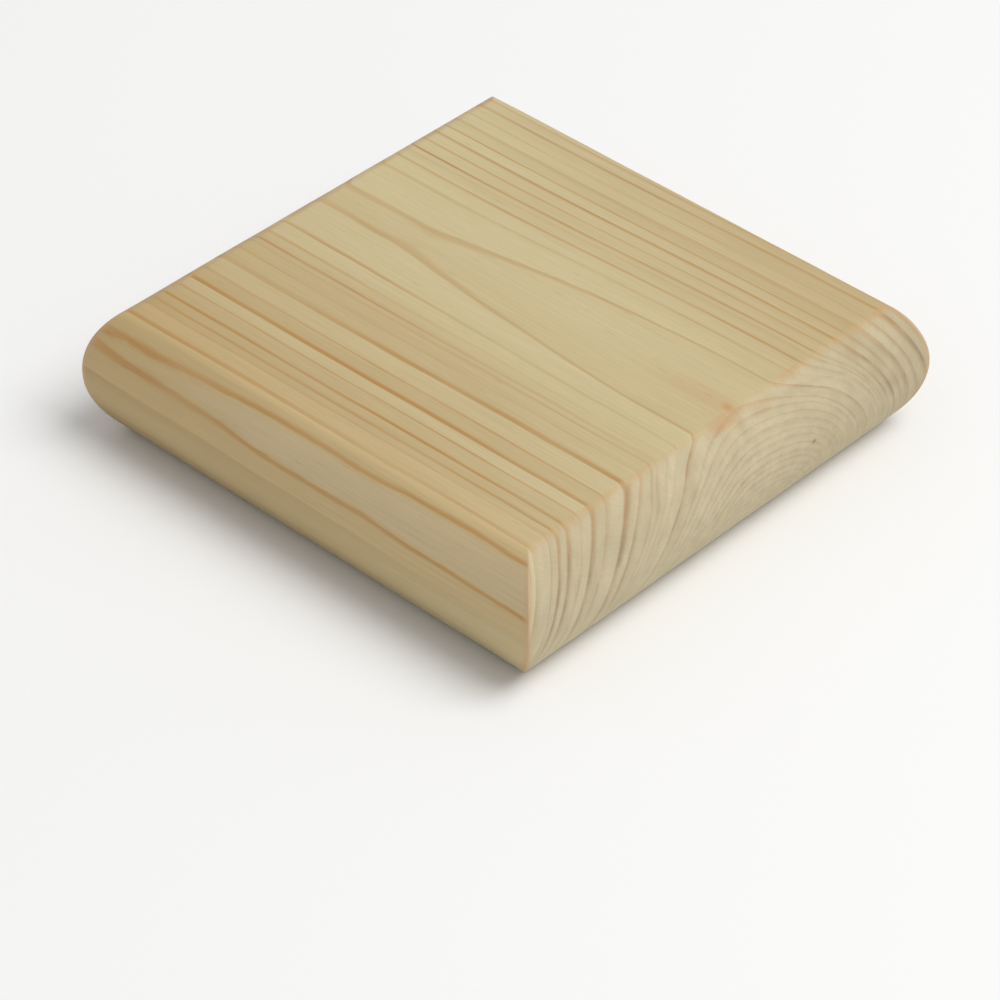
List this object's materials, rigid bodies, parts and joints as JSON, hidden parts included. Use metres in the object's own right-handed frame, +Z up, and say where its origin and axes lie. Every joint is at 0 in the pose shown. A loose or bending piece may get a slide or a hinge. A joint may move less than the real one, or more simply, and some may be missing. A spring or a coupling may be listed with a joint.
{
  "type": "fence post cap",
  "caption": "Flat square softwood cap board for a fence post, with a shallow rounded nose on every edge and sharp mitred corners.",
  "frame": {"origin": "centre of the flat underside, which rests on the post", "axes": "+Z up through the middle of the board, X along the grain, Y across the grain"},
  "size_m": [0.11, 0.11, 0.027],
  "materials": {
    "planed_pine": "planed and sanded bare softwood, matt, grain along X with end grain on the two X edges"
  },
  "bodies": {
    "root": {"cap_board": "planed_pine"}
  },
  "joints": []
}
